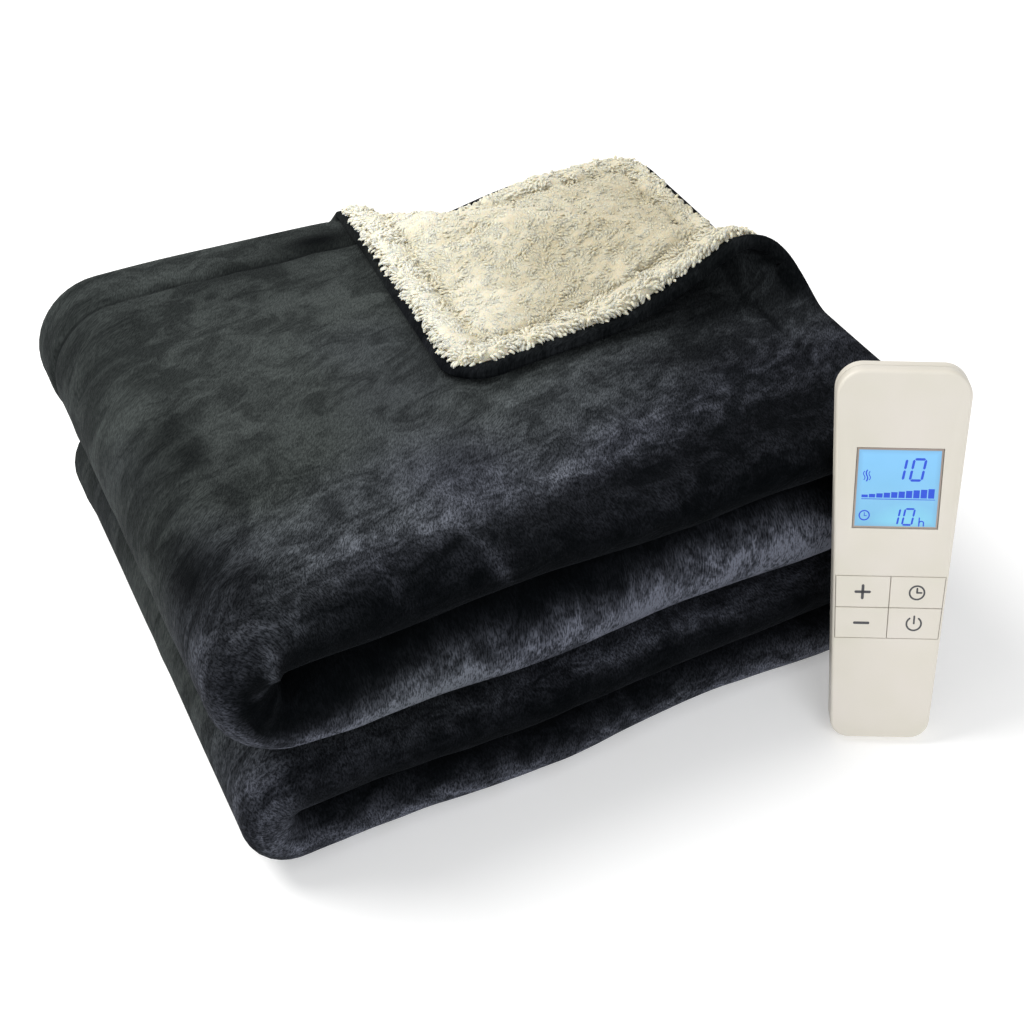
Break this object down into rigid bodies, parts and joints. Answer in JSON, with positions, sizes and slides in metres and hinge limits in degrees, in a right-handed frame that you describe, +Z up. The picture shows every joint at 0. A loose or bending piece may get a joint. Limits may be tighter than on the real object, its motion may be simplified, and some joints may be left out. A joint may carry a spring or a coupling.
{
  "type": "electric heated blanket",
  "caption": "Two-sided heated throw, dark flannel over cream sherpa, folded into a thick stack with one corner turned down, and its upright hand controller leaning on the front.",
  "frame": {"origin": "middle of the bounding box on the surface that the folded throw and its controller stand on", "axes": "+X along the front folds to the right, +Y from the front folds to the hems at the back, +Z up"},
  "size_m": [0.4055, 0.4163, 0.2045],
  "materials": {
    "flannel": "dark charcoal flannel with a soft brushed nap",
    "sherpa": "cream sherpa with curly tufts",
    "shell": "warm white moulded plastic, satin",
    "keys": "warm white moulded plastic, satin, with dark grey signs",
    "screen": "clear window over a light blue lit display"
  },
  "bodies": {
    "throw": {"flannel_panel": "flannel", "sherpa_panel": "sherpa", "controller_back_shell": "shell", "controller_front_shell": "shell", "screen_window": "screen"},
    "warmer_key": {"key_warmer": "keys"},
    "timer_key": {"key_timer": "keys"},
    "cooler_key": {"key_cooler": "keys"},
    "power_key": {"key_power": "keys"}
  },
  "joints": [
    {"name": "warmer_press", "type": "slide", "parent": "throw", "child": "warmer_key", "axis": [0.4782, 0.8282, -0.2924], "range_m": [0, 0.0008], "stiffness_N_per_m": 400, "springref_m": -0.002},
    {"name": "timer_press", "type": "slide", "parent": "throw", "child": "timer_key", "axis": [0.4782, 0.8282, -0.2924], "range_m": [0, 0.0008], "stiffness_N_per_m": 400, "springref_m": -0.002},
    {"name": "cooler_press", "type": "slide", "parent": "throw", "child": "cooler_key", "axis": [0.4782, 0.8282, -0.2924], "range_m": [0, 0.0008], "stiffness_N_per_m": 400, "springref_m": -0.002},
    {"name": "power_press", "type": "slide", "parent": "throw", "child": "power_key", "axis": [0.4782, 0.8282, -0.2924], "range_m": [0, 0.0008], "stiffness_N_per_m": 400, "springref_m": -0.002}
  ]
}
